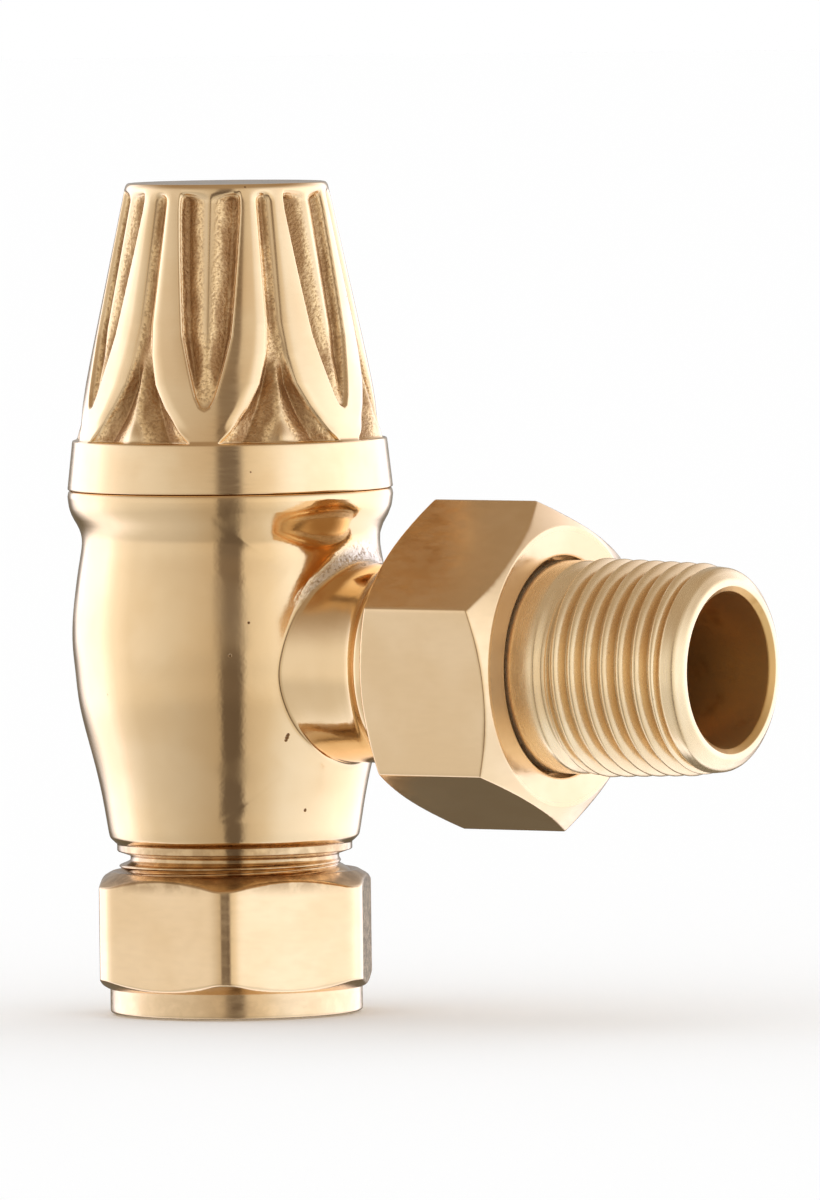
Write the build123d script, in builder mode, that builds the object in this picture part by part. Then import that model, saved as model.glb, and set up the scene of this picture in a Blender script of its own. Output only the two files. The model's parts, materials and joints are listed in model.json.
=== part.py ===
"""Angle lockshield valve for a radiator, in millimetres.

The inlet, the spindle and the cap share the Z axis, and the outlet runs along +X. The origin is
where the two axes cross, which is the point that pipework drawings measure from. At rest the valve
is shut, the cap is on, and both pipe joints are tight.
"""

from build123d import *

import math
import os
from collections import namedtuple

# Threads. The core is the rod's root radius, and the depth is measured out from it to the crest.
Thread = namedtuple("Thread", "core depth pitch")
INLET_THREAD = Thread(core=10.29, depth=1.16, pitch=1.814)  # G 5/8
OUTLET_THREAD = Thread(core=12.06, depth=1.16, pitch=1.814)  # G 3/4
BONNET_THREAD = Thread(core=8.08, depth=0.92, pitch=1.5)  # M18 x 1.5
SPINDLE_THREAD = Thread(core=4.08, depth=0.88, pitch=1.5)  # M10 x 1.5
GLAND_THREAD = Thread(core=5.88, depth=0.60, pitch=1.0)  # M13 x 1
THREAD_GAP = 0.12  # radial room between a rod and its nut
RIDGE_SINK = 0.12  # how far a ridge's foot is buried in its rod

# The tail's thread is R 1/2: it narrows by 1 in 16 on the diameter.
TAPER = 1 / 32
TAIL_GAUGE_CREST = 10.48
TAIL_GAUGE_LENGTH = 8.2

# Body.
SHOULDER_Z = 16.9
SPIGOT_RADIUS, SPIGOT_TOP = 13.0, 22.5
FOOT_RADIUS, FOOT_Z = 11.6, -18.7
INLET_END_Z = -27.5
PIPE_RADIUS, PIPE_STOP_Z = 7.65, -14.0
SEAT_Z, SEAT_BORE, SEAT_LIP = -6.0, 5.5, 6.7
CHAMBER_RADIUS, CHAMBER_FLOOR, CHAMBER_TOP = 8.4, -7.0, 10.0
STUB_RADIUS, STUB_FILLET, COLLAR_RADIUS = 9.8, 1.8, 11.0
COLLAR_X, OUTLET_THREAD_X, OUTLET_END_X = 21.4, 23.6, 32.0
WATERWAY_RADIUS = 6.5
SOCKET_RADIUS, SOCKET_X = 8.6, 29.2

# Compression nut and olive.
INLET_NUT_FLATS, INLET_NUT_TOP, INLET_HEX_FOOT = 26.0, -20.7, -32.2
INLET_NUT_TURN = -1.0
INLET_NUT_FLOOR = -29.7
SKIRT_RADIUS, SKIRT_FOOT = 12.45, -34.65
OLIVE_RADIUS, OLIVE_TOP, OLIVE_FOOT = 8.85, -26.5, -31.2

# Union nut and tail.
UNION_FLATS, UNION_BACK, UNION_FRONT = 28.5, 23.9, 38.8
UNION_TURN = 38.0
UNION_LIP_X, UNION_HOLE = 35.6, 10.8
NOSE_X, NOSE_RADIUS = 29.3, 8.45
FLANGE_X, FLANGE_FRONT, FLANGE_RADIUS = 32.15, 35.5, 11.7
NECK_RADIUS = 10.4
TAIL_THREAD_X, TAIL_THREAD_TURNS, TAIL_END_X = 42.8, 7.5, 58.0
TAIL_BORE, TAIL_LAND = 7.6, 8.8
KEY_FLATS, KEY_X, KEY_END_X = 12.0, 34.0, 46.0
UNION_SEAL_X, UNION_SEAL_RADIUS, UNION_SEAL_SECTION = 31.15, 7.9, 0.65

# Bonnet and gland.
BONNET_FOOT, BONNET_FLANGE_Z, BONNET_TOP = 10.2, 23.5, 30.0
BONNET_FLATS, BONNET_FLANGE_RADIUS = 18.0, 10.6
GUIDE_RADIUS = 4.06
STEM_RING_Z, STEM_RING_RADIUS, STEM_RING_SECTION = 20.8, 4.89, 0.83
GLAND_FLOOR = 22.4
GLAND_NUT_FOOT, GLAND_HEX_FOOT, GLAND_NUT_TOP, GLAND_NUT_FLATS = 26.85, 30.3, 32.6, 13.0

# Spindle and jumper.
STEM_RADIUS, SPINDLE_TOP = 4.0, 38.8
SPINDLE_THREAD_FOOT, SPINDLE_THREAD_TOP = 4.0, 13.4
SQUARE_FOOT, SQUARE_FLATS = 33.0, 6.4
BUTTON_RADIUS, BUTTON_HALF, NECK_OF_SPINDLE = 3.5, 0.9, 2.3
JUMPER_RADIUS, HUB_RADIUS, HUB_HOLE, STUD_RADIUS = 7.3, 5.4, 3.7, 1.9
CLIP_FOOT, CLIP_THICK = 1.0, 0.7

# Cap: a straight cone with a leaf pattern, above a plain band.
CAP_FOOT, CAP_TOP = 16.95, 47.1
BAND_FOOT_RADIUS, BAND_TOP_RADIUS, BAND_TOP_Z = 16.05, 15.6, 21.9
CONE_FOOT_RADIUS, CONE_FOOT_Z = 14.95, 22.4
CONE_TOP_RADIUS, CONE_TOP_Z = 10.15, 46.0
CAP_FACE_RADIUS, CAP_CEILING = 9.4, 44.6
LEAVES, LEAF_ANGLE, HOLLOW_DEPTH = 6, -7.5, 0.9
GRIP_Z, GRIP_RADIUS, GRIP_SECTION = 20.0, 13.93, 0.87

# A turning line is the plane of (radius, distance along the line) outlines, and its axis.
RISER = (Plane.XZ, Axis.Z)
OUTLET = (Plane(origin=(0, 0, 0), x_dir=(0, 1, 0), z_dir=(0, 0, -1)), Axis.X)
ALONG_X = (0, 90, 0)  # turns what was made along Z to lie along +X


def turn(*outline, line=RISER, mode=Mode.ADD):
    """Revolve a closed outline of (radius, distance) points in the part being built."""
    plane, axis = line
    with BuildSketch(plane) as section:
        with BuildLine():
            Polyline(*outline, close=True)
        make_face()
    revolve(section.sketch, axis=axis, mode=mode)


def ring(centre_radius, centre_distance, section_radius, line=RISER):
    """Add an O-ring to the part being built."""
    plane, axis = line
    with BuildSketch(plane) as section:
        with Locations((centre_radius, centre_distance)):
            Circle(section_radius)
    revolve(section.sketch, axis=axis)


def hexagon(flats, start, end, base=Plane.XY, rotation=0.0):
    """Add a hexagonal bar between two distances from a base plane, with its edges just broken."""
    with BuildSketch(base.offset(start)) as section:
        RegularPolygon(flats / 2, 6, major_radius=False, rotation=rotation)
        fillet(section.vertices(), radius=0.4)
    extrude(section.sketch, amount=end - start)


def turn_corners(flats, circle, end, away, line=RISER):
    """Turn a hexagon's corners down at 30 degrees to a circle on its end face.

    away is +1 where the end face looks along the line, and -1 where it looks back.
    """
    reach = flats / 2 / math.cos(math.radians(30)) + 1
    drop = (reach - circle) * math.tan(math.radians(30))
    turn((circle, end), (reach, end - away * drop), (reach, end), line=line, mode=Mode.SUBTRACT)


def ridge(thread, datum, turns, gap=0.0, taper=0.0):
    """The right-hand ridge of a rod's thread, climbing along Z from height datum."""
    half_foot = 0.42 * thread.pitch + gap / 2
    half_crest = 0.10 * thread.pitch + gap / 2
    cone = math.degrees(math.atan(taper))
    with BuildPart() as rib:
        with BuildLine() as path:
            Helix(
                thread.pitch,
                turns * thread.pitch,
                thread.core + gap - RIDGE_SINK,
                center=(0, 0, datum),
                cone_angle=-cone,
            )
        with BuildSketch(Plane(path.line @ 0, x_dir=(1, 0, 0), z_dir=path.line % 0)):
            with BuildLine():
                Polyline(
                    (0, -half_foot),
                    (0, half_foot),
                    (RIDGE_SINK + thread.depth, half_crest),
                    (RIDGE_SINK + thread.depth, -half_crest),
                    close=True,
                )
            make_face()
        sweep(path=path.line, is_frenet=True)
    return rib.part


def tap(thread, datum, turns, low, high):
    """A plug that, cut from a blank, leaves a nut with room for the rod that has this thread."""
    rib = ridge(thread, datum, turns, gap=THREAD_GAP)
    with BuildPart() as plug:
        with BuildSketch(Plane.XY.offset(low)):
            Circle(thread.core + THREAD_GAP)
        extrude(amount=high - low)
        add(rib)
    return plug.part


# ---------------------------------------------------------------- body
# Every nut's tap starts a whole number of turns from its rod's ridge, so the two are in mesh.
inlet_datum = -26.6
outlet_datum = 25.0
bonnet_datum = 11.2
inlet_ridge = ridge(INLET_THREAD, inlet_datum, turns=3.9)
outlet_ridge = ridge(OUTLET_THREAD, outlet_datum, turns=3.3)
bonnet_tap = tap(BONNET_THREAD, bonnet_datum - BONNET_THREAD.pitch, 10.5, low=8.5, high=28)

with BuildPart() as valve_body:
    # Cast outside: shoulder, waist, belly and turned foot, then the rod for the compression nut.
    # The outline is drawn at +Y, which keeps the revolved seam clear of the outlet.
    with BuildSketch(Plane.YZ):
        with BuildLine():
            Polyline((0, SPIGOT_TOP), (SPIGOT_RADIUS - 0.5, SPIGOT_TOP), (SPIGOT_RADIUS, SPIGOT_TOP - 0.5))
            Polyline((SPIGOT_RADIUS, SPIGOT_TOP - 0.5), (SPIGOT_RADIUS, SHOULDER_Z), (15.75, SHOULDER_Z))
            ThreePointArc((15.75, SHOULDER_Z), (15.98, 16.78), (16.08, 16.5))
            Spline(
                (16.08, 16.5),
                (15.75, 14.6),
                (14.88, 12.0),
                (15.35, 7.5),
                (15.8, 2.5),
                (14.65, -6.7),
                (13.15, -12.7),
                (12.45, -16.6),
                tangents=[(0.02, -1), (-0.12, -1)],
            )
            ThreePointArc((12.45, -16.6), (12.3, -17.4), (11.85, -17.8))
            Polyline(
                (11.85, -17.8),
                (FOOT_RADIUS, -18.0),
                (FOOT_RADIUS, FOOT_Z),
                (INLET_THREAD.core, FOOT_Z - 0.4),
                (INLET_THREAD.core, INLET_END_Z),
                (0, INLET_END_Z),
                (0, SPIGOT_TOP),
            )
        make_face()
    revolve(axis=Axis.Z)
    # Outlet stub with a cast fillet where it leaves the body.
    with BuildSketch(Plane.YZ):
        Circle(STUB_RADIUS)
    extrude(amount=COLLAR_X)
    stub_root = valve_body.edges(Select.NEW).filter_by(lambda edge: 8 < edge.center().X < 20)
    fillet(stub_root, radius=STUB_FILLET)
    # Collar, then the rod for the union nut.
    turn(
        (0, 18.0),
        (STUB_RADIUS - 0.2, 18.0),
        (STUB_RADIUS, COLLAR_X - 1.6),
        (STUB_RADIUS + 0.35, COLLAR_X - 0.6),
        (COLLAR_RADIUS, COLLAR_X),
        (COLLAR_RADIUS, OUTLET_THREAD_X - 0.5),
        (OUTLET_THREAD.core, OUTLET_THREAD_X),
        (OUTLET_THREAD.core, OUTLET_END_X),
        (0, OUTLET_END_X),
        line=OUTLET,
    )
    add(outlet_ridge, rotation=ALONG_X)
    add(inlet_ridge)
    # Pipe socket with a cone for the olive, then the waterway up to the seat.
    turn(
        (0, INLET_END_Z - 1),
        (PIPE_RADIUS + 2.35, INLET_END_Z - 1),
        (PIPE_RADIUS, INLET_END_Z + 1.35),
        (PIPE_RADIUS, PIPE_STOP_Z),
        (SEAT_BORE, PIPE_STOP_Z + 1.2),
        (SEAT_BORE, SEAT_Z + 1),
        (0, SEAT_Z + 1),
        mode=Mode.SUBTRACT,
    )
    # Chamber around a raised seat.
    turn(
        (0, SEAT_Z),
        (SEAT_LIP - 0.4, SEAT_Z),
        (SEAT_LIP, SEAT_Z - 0.4),
        (SEAT_LIP, CHAMBER_FLOOR),
        (CHAMBER_RADIUS, CHAMBER_FLOOR),
        (CHAMBER_RADIUS, CHAMBER_TOP),
        (0, CHAMBER_TOP),
        mode=Mode.SUBTRACT,
    )
    # Outlet waterway, widened for the nose of the tail.
    turn(
        (0, CHAMBER_RADIUS - 2.4),
        (WATERWAY_RADIUS, CHAMBER_RADIUS - 2.4),
        (WATERWAY_RADIUS, SOCKET_X - 0.8),
        (SOCKET_RADIUS, SOCKET_X),
        (SOCKET_RADIUS, OUTLET_END_X + 1),
        (0, OUTLET_END_X + 1),
        line=OUTLET,
        mode=Mode.SUBTRACT,
    )
    add(bonnet_tap, mode=Mode.SUBTRACT)

# ---------------------------------------------------------------- compression joint
inlet_tap = tap(INLET_THREAD, inlet_datum - INLET_THREAD.pitch, 6.0, low=INLET_NUT_FLOOR, high=-15)

with BuildPart() as compression_nut:
    hexagon(INLET_NUT_FLATS, INLET_HEX_FOOT, INLET_NUT_TOP, rotation=INLET_NUT_TURN)
    turn_corners(INLET_NUT_FLATS, 12.1, INLET_NUT_TOP, away=1)
    turn_corners(INLET_NUT_FLATS, 12.7, INLET_HEX_FOOT, away=-1)
    turn(
        (0, SKIRT_FOOT),
        (SKIRT_RADIUS - 0.35, SKIRT_FOOT),
        (SKIRT_RADIUS, SKIRT_FOOT + 0.35),
        (SKIRT_RADIUS, INLET_HEX_FOOT + 0.5),
        (0, INLET_HEX_FOOT + 0.5),
    )
    add(inlet_tap, mode=Mode.SUBTRACT)
    # Mouth of the thread.
    turn(
        (0, INLET_NUT_TOP - 0.7),
        (11.1, INLET_NUT_TOP - 0.7),
        (11.8, INLET_NUT_TOP),
        (11.8, INLET_NUT_TOP + 1),
        (0, INLET_NUT_TOP + 1),
        mode=Mode.SUBTRACT,
    )
    # Cone that squeezes the olive, and the hole for the pipe.
    turn(
        (0, INLET_NUT_FLOOR + 0.1),
        (9.3, INLET_NUT_FLOOR + 0.1),
        (9.3, INLET_NUT_FLOOR - 0.2),
        (PIPE_RADIUS, INLET_NUT_FLOOR - 1.75),
        (PIPE_RADIUS, SKIRT_FOOT - 1),
        (0, SKIRT_FOOT - 1),
        mode=Mode.SUBTRACT,
    )

with BuildPart() as compression_olive:
    turn(
        (PIPE_RADIUS, OLIVE_TOP),
        (OLIVE_RADIUS - 0.95, OLIVE_TOP),
        (OLIVE_RADIUS, OLIVE_TOP - 0.95),
        (OLIVE_RADIUS, OLIVE_FOOT + 0.95),
        (OLIVE_RADIUS - 0.95, OLIVE_FOOT),
        (PIPE_RADIUS, OLIVE_FOOT),
    )

# ---------------------------------------------------------------- outlet union
outlet_tap = tap(OUTLET_THREAD, outlet_datum - 2 * OUTLET_THREAD.pitch, 7.0, low=19, high=UNION_LIP_X)

with BuildPart() as union_nut:
    hexagon(UNION_FLATS, UNION_BACK, UNION_FRONT, base=Plane.YZ, rotation=UNION_TURN)
    turn_corners(UNION_FLATS, 13.6, UNION_FRONT, away=1, line=OUTLET)
    turn_corners(UNION_FLATS, 13.6, UNION_BACK, away=-1, line=OUTLET)
    add(outlet_tap, rotation=ALONG_X, mode=Mode.SUBTRACT)
    turn(
        (0, UNION_LIP_X - 1),
        (UNION_HOLE, UNION_LIP_X - 1),
        (UNION_HOLE, UNION_FRONT - 0.4),
        (UNION_HOLE + 0.5, UNION_FRONT + 0.1),
        (0, UNION_FRONT + 0.1),
        line=OUTLET,
        mode=Mode.SUBTRACT,
    )

tail_crest = TAIL_GAUGE_CREST + (TAIL_END_X - TAIL_GAUGE_LENGTH - TAIL_THREAD_X) * TAPER
tail_thread = Thread(tail_crest - 1.16, 1.16, 1.814)
tail_ridge = ridge(tail_thread, TAIL_THREAD_X, TAIL_THREAD_TURNS, taper=TAPER)
tail_core_end = tail_thread.core - (TAIL_END_X - TAIL_THREAD_X) * TAPER

with BuildPart() as union_tail:
    # Nose, trapped flange, neck and tapered core.
    turn(
        (0, NOSE_X),
        (NOSE_RADIUS - 0.45, NOSE_X),
        (NOSE_RADIUS, NOSE_X + 0.45),
        (NOSE_RADIUS, FLANGE_X),
        (FLANGE_RADIUS, FLANGE_X),
        (FLANGE_RADIUS, FLANGE_FRONT),
        (NECK_RADIUS, FLANGE_FRONT),
        (NECK_RADIUS, TAIL_THREAD_X - 1.6),
        (tail_thread.core, TAIL_THREAD_X - 0.8),
        (tail_thread.core, TAIL_THREAD_X),
        (tail_core_end, TAIL_END_X),
        (0, TAIL_END_X),
        line=OUTLET,
    )
    add(tail_ridge, rotation=ALONG_X)
    # Chamfered end.
    turn(
        (TAIL_LAND, TAIL_END_X),
        (TAIL_LAND + 3, TAIL_END_X - 2.6),
        (TAIL_LAND + 3, TAIL_END_X + 1),
        (TAIL_LAND, TAIL_END_X + 1),
        line=OUTLET,
        mode=Mode.SUBTRACT,
    )
    # Groove for the seal.
    turn(
        (UNION_SEAL_RADIUS - 0.7, UNION_SEAL_X - 0.85),
        (NOSE_RADIUS + 1, UNION_SEAL_X - 0.85),
        (NOSE_RADIUS + 1, UNION_SEAL_X + 0.85),
        (UNION_SEAL_RADIUS - 0.7, UNION_SEAL_X + 0.85),
        line=OUTLET,
        mode=Mode.SUBTRACT,
    )
    # Bore, with a hexagon part way in for the key that screws the tail home.
    turn(
        (0, NOSE_X - 1),
        (KEY_FLATS / 2, NOSE_X - 1),
        (KEY_FLATS / 2, KEY_END_X),
        (TAIL_BORE, KEY_END_X + 1),
        (TAIL_BORE, TAIL_END_X - 0.5),
        (TAIL_BORE + 0.6, TAIL_END_X + 0.1),
        (0, TAIL_END_X + 0.1),
        line=OUTLET,
        mode=Mode.SUBTRACT,
    )
    with BuildSketch(Plane.YZ.offset(KEY_X)):
        RegularPolygon(KEY_FLATS / 2, 6, major_radius=False)
    extrude(amount=KEY_END_X + 0.9 - KEY_X, mode=Mode.SUBTRACT)

with BuildPart() as union_seal:
    ring(UNION_SEAL_RADIUS, UNION_SEAL_X, UNION_SEAL_SECTION, line=OUTLET)

# ---------------------------------------------------------------- bonnet and gland
spindle_datum = 5.5
gland_datum = 27.8
bonnet_ridge = ridge(BONNET_THREAD, bonnet_datum, turns=6.6)
spindle_tap = tap(SPINDLE_THREAD, spindle_datum + SPINDLE_THREAD.pitch, 7.5, low=5, high=19.2)
gland_tap = tap(GLAND_THREAD, gland_datum - GLAND_THREAD.pitch, 4.6, low=25, high=33)

with BuildPart() as bonnet:
    turn(
        (0, BONNET_FOOT),
        (BONNET_THREAD.core, BONNET_FOOT),
        (BONNET_THREAD.core, BONNET_FLANGE_Z),
        (BONNET_FLANGE_RADIUS, BONNET_FLANGE_Z),
        (BONNET_FLANGE_RADIUS, BONNET_FLANGE_Z + 0.9),
        (0, BONNET_FLANGE_Z + 0.9),
    )
    add(bonnet_ridge)
    hexagon(BONNET_FLATS, BONNET_FLANGE_Z + 0.5, BONNET_TOP)
    turn_corners(BONNET_FLATS, 8.6, BONNET_TOP, away=1)
    add(spindle_tap, mode=Mode.SUBTRACT)
    # Relief above the thread, guide with the ring's groove, and gland chamber.
    turn(
        (0, 17.5),
        (5.25, 17.5),
        (5.25, 19.2),
        (GUIDE_RADIUS, 19.2),
        (GUIDE_RADIUS, STEM_RING_Z - 0.9),
        (5.75, STEM_RING_Z - 0.9),
        (5.75, STEM_RING_Z + 0.9),
        (GUIDE_RADIUS, STEM_RING_Z + 0.9),
        (GUIDE_RADIUS, GLAND_FLOOR),
        (GLAND_THREAD.core, GLAND_FLOOR),
        (GLAND_THREAD.core, BONNET_TOP - 2),
        (0, BONNET_TOP - 2),
        mode=Mode.SUBTRACT,
    )
    add(gland_tap, mode=Mode.SUBTRACT)

with BuildPart() as bonnet_seal:
    turn((9.4, 22.55), (11.6, 22.55), (11.6, 23.45), (9.4, 23.45))

with BuildPart() as spindle_o_ring:
    ring(STEM_RING_RADIUS, STEM_RING_Z, STEM_RING_SECTION)

with BuildPart() as gland_washer:
    turn((4.1, 22.45), (5.8, 22.45), (5.8, 23.25), (4.1, 23.25))

with BuildPart() as gland_packing:
    turn((4.03, 23.3), (5.83, 23.3), (5.83, 25.9), (4.03, 25.9))

with BuildPart() as gland_follower:
    turn((4.1, 25.95), (5.8, 25.95), (5.8, 26.75), (4.1, 26.75))

gland_ridge = ridge(GLAND_THREAD, gland_datum, turns=2.2)

with BuildPart() as gland_nut:
    with BuildSketch(Plane.XY.offset(GLAND_NUT_FOOT)):
        Circle(GLAND_THREAD.core)
    extrude(amount=GLAND_HEX_FOOT - GLAND_NUT_FOOT)
    add(gland_ridge)
    hexagon(GLAND_NUT_FLATS, GLAND_HEX_FOOT, GLAND_NUT_TOP, rotation=20)
    turn_corners(GLAND_NUT_FLATS, 6.1, GLAND_NUT_TOP, away=1)
    with Locations((0, 0, GLAND_NUT_TOP)):
        Hole(STEM_RADIUS + 0.1)

# ---------------------------------------------------------------- spindle and jumper
spindle_ridge = ridge(SPINDLE_THREAD, spindle_datum, turns=4.7)

with BuildPart() as spindle:
    # Button that turns in the jumper, neck, threaded part and stem.
    turn(
        (0, -BUTTON_HALF),
        (BUTTON_RADIUS - 0.2, -BUTTON_HALF),
        (BUTTON_RADIUS, 0.2 - BUTTON_HALF),
        (BUTTON_RADIUS, BUTTON_HALF),
        (NECK_OF_SPINDLE, BUTTON_HALF),
        (NECK_OF_SPINDLE, SPINDLE_THREAD_FOOT),
        (SPINDLE_THREAD.core, SPINDLE_THREAD_FOOT),
        (SPINDLE_THREAD.core, SPINDLE_THREAD_TOP),
        (STEM_RADIUS, SPINDLE_THREAD_TOP),
        (STEM_RADIUS, SPINDLE_TOP - 0.6),
        (STEM_RADIUS - 0.8, SPINDLE_TOP),
        (0, SPINDLE_TOP),
    )
    add(spindle_ridge)
    # Square for the lockshield key.
    with BuildSketch(Plane.XY.offset(SQUARE_FOOT)):
        Circle(STEM_RADIUS + 1)
        Rectangle(SQUARE_FLATS, SQUARE_FLATS, rotation=25, mode=Mode.SUBTRACT)
    extrude(amount=SPINDLE_TOP - SQUARE_FOOT + 1, mode=Mode.SUBTRACT)

with BuildPart() as jumper:
    # Plate over the seat washer, hub with the clip's groove, and stud below.
    turn(
        (0, -8.6),
        (STUD_RADIUS, -8.6),
        (STUD_RADIUS, -3.4),
        (JUMPER_RADIUS - 0.3, -3.4),
        (JUMPER_RADIUS, -3.1),
        (JUMPER_RADIUS, -2.3),
        (JUMPER_RADIUS - 0.3, -2.0),
        (HUB_RADIUS, -2.0),
        (HUB_RADIUS, 2.9),
        (HUB_RADIUS - 0.3, 3.2),
        (HUB_HOLE, 3.2),
        (HUB_HOLE, CLIP_FOOT + CLIP_THICK + 0.05),
        (HUB_HOLE + 0.7, CLIP_FOOT + CLIP_THICK + 0.05),
        (HUB_HOLE + 0.7, CLIP_FOOT - 0.05),
        (HUB_HOLE, CLIP_FOOT - 0.05),
        (HUB_HOLE, -BUTTON_HALF - 0.1),
        (0, -BUTTON_HALF - 0.1),
    )

with BuildPart() as jumper_clip:
    with BuildSketch(Plane.XY.offset(CLIP_FOOT)):
        Circle(HUB_HOLE + 0.6)
        Circle(NECK_OF_SPINDLE + 0.2, mode=Mode.SUBTRACT)
        with Locations((NECK_OF_SPINDLE + 1.1, 0)):
            Rectangle(3.0, 2.6, mode=Mode.SUBTRACT)
    extrude(amount=CLIP_THICK)

with BuildPart() as seat_washer:
    turn((STUD_RADIUS + 0.08, -5.95), (7.0, -5.95), (7.0, -3.45), (STUD_RADIUS + 0.08, -3.45))

with BuildPart() as washer_nut:
    hexagon(6.5, -8.2, -6.05)
    turn_corners(6.5, 3.0, -8.2, away=-1)
    with Locations((0, 0, -6.05)):
        Hole(STUD_RADIUS + 0.06)

# ---------------------------------------------------------------- cap
# The hollows are cut to a floor parallel to the cone. Outlines are (sideways, height) points.
cone_lean = math.atan((CONE_FOOT_RADIUS - CONE_TOP_RADIUS) / (CONE_TOP_Z - CONE_FOOT_Z))
LONG_HOLLOW = [(-2.9, 45.8), (2.9, 45.8), (2.75, 37.0), (1.4, 28.2), (0, 25.3), (-1.4, 28.2), (-2.75, 37.0)]
ARROW_HALF = [(0.35, 45.3), (0.45, 33.0), (1.5, 28.0), (3.0, 25.2), (5.7, 22.6)]
ARROW_HOLLOW = ARROW_HALF + [(-side, height) for side, height in reversed(ARROW_HALF)]


def cut_hollow(outline, angle):
    """Cut one hollow into the cone of the part being built."""
    outward = Vector(1, 0, 0).rotate(Axis.Z, angle)
    up = Vector(0, 0, 1)
    floor_radius = CONE_FOOT_RADIUS - HOLLOW_DEPTH / math.cos(cone_lean)
    climb = 1 / math.cos(cone_lean)
    floor = Plane(
        outward * floor_radius + up * CONE_FOOT_Z,
        x_dir=up.cross(outward),
        z_dir=outward * math.cos(cone_lean) + up * math.sin(cone_lean),
    )
    with BuildSketch(floor) as section:
        with BuildLine():
            Polyline(*[(side, (height - CONE_FOOT_Z) * climb) for side, height in outline], close=True)
        make_face()
    extrude(section.sketch, amount=3, mode=Mode.SUBTRACT)


with BuildPart() as lockshield_cap:
    turn(
        (0, CAP_FOOT),
        (BAND_FOOT_RADIUS - 0.25, CAP_FOOT),
        (BAND_FOOT_RADIUS, CAP_FOOT + 0.25),
        (BAND_TOP_RADIUS, BAND_TOP_Z - 0.3),
        (BAND_TOP_RADIUS - 0.2, BAND_TOP_Z),
        (CONE_FOOT_RADIUS, CONE_FOOT_Z),
        (CONE_TOP_RADIUS, CONE_TOP_Z),
        (CAP_FACE_RADIUS + 0.3, CAP_TOP - 0.35),
        (CAP_FACE_RADIUS, CAP_TOP),
        (0, CAP_TOP),
    )
    for leaf in range(LEAVES):
        leaf_angle = LEAF_ANGLE + leaf * 360 / LEAVES
        cut_hollow(LONG_HOLLOW, leaf_angle)
        cut_hollow(ARROW_HOLLOW, leaf_angle + 180 / LEAVES)
    # Bore over the spigot with the grip ring's groove, then room for the bonnet and spindle.
    turn(
        (0, CAP_FOOT - 1),
        (SPIGOT_RADIUS + 0.15, CAP_FOOT - 1),
        (SPIGOT_RADIUS + 0.15, GRIP_Z - 1.05),
        (GRIP_RADIUS + GRIP_SECTION + 0.06, GRIP_Z - 1.05),
        (GRIP_RADIUS + GRIP_SECTION + 0.06, GRIP_Z + 1.05),
        (SPIGOT_RADIUS + 0.15, GRIP_Z + 1.05),
        (SPIGOT_RADIUS + 0.15, 23.2),
        (12.0, 24.4),
        (10.9, 30.0),
        (8.6, 36.0),
        (7.0, 44.0),
        (6.4, CAP_CEILING),
        (0, CAP_CEILING),
        mode=Mode.SUBTRACT,
    )

with BuildPart() as cap_grip_ring:
    ring(GRIP_RADIUS, GRIP_Z, GRIP_SECTION)

# ---------------------------------------------------------------- labels and files
PIECES = {
    "valve_body": valve_body,
    "compression_nut": compression_nut,
    "compression_olive": compression_olive,
    "union_nut": union_nut,
    "union_tail": union_tail,
    "union_seal": union_seal,
    "bonnet": bonnet,
    "bonnet_seal": bonnet_seal,
    "spindle_o_ring": spindle_o_ring,
    "gland_washer": gland_washer,
    "gland_packing": gland_packing,
    "gland_follower": gland_follower,
    "gland_nut": gland_nut,
    "spindle": spindle,
    "jumper": jumper,
    "jumper_clip": jumper_clip,
    "seat_washer": seat_washer,
    "washer_nut": washer_nut,
    "lockshield_cap": lockshield_cap,
    "cap_grip_ring": cap_grip_ring,
}

os.makedirs("parts", exist_ok=True)
for label, piece in PIECES.items():
    piece.part.label = label
    export_step(piece.part, f"parts/{label}.step")
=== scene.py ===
"""Looks of the angle lockshield valve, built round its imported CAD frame.

Lengths are in millimetres until a mesh is made, and then in metres. The riser is the Z axis, which
the inlet, the spindle and the cap share, and the outlet is the X axis. A piece turned about either is
a closed outline of (radius, distance along the axis) points swept round it.
"""

import json
import math

import bpy
import numpy as np
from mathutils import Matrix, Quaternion, Vector


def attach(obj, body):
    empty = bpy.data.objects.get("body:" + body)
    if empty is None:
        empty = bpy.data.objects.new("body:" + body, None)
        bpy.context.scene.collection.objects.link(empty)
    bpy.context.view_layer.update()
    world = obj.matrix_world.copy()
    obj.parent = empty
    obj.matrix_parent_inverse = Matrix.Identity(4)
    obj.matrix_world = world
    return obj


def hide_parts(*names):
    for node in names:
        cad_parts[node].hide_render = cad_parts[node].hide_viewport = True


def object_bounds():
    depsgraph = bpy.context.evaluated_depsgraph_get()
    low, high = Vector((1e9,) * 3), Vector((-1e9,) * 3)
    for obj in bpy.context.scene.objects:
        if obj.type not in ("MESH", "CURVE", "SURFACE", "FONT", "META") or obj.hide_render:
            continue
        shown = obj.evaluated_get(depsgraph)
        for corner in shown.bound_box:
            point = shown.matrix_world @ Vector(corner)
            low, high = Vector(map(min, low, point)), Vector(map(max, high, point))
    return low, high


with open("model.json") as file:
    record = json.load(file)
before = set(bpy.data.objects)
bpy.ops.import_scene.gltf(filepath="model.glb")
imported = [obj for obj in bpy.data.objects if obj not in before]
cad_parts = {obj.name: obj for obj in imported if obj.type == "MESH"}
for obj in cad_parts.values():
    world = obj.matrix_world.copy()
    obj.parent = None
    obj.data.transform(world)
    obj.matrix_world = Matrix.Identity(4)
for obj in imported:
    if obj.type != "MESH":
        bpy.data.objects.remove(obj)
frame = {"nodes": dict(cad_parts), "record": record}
cad_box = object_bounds()

MM = 0.001
TURN = 2 * math.pi

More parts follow.
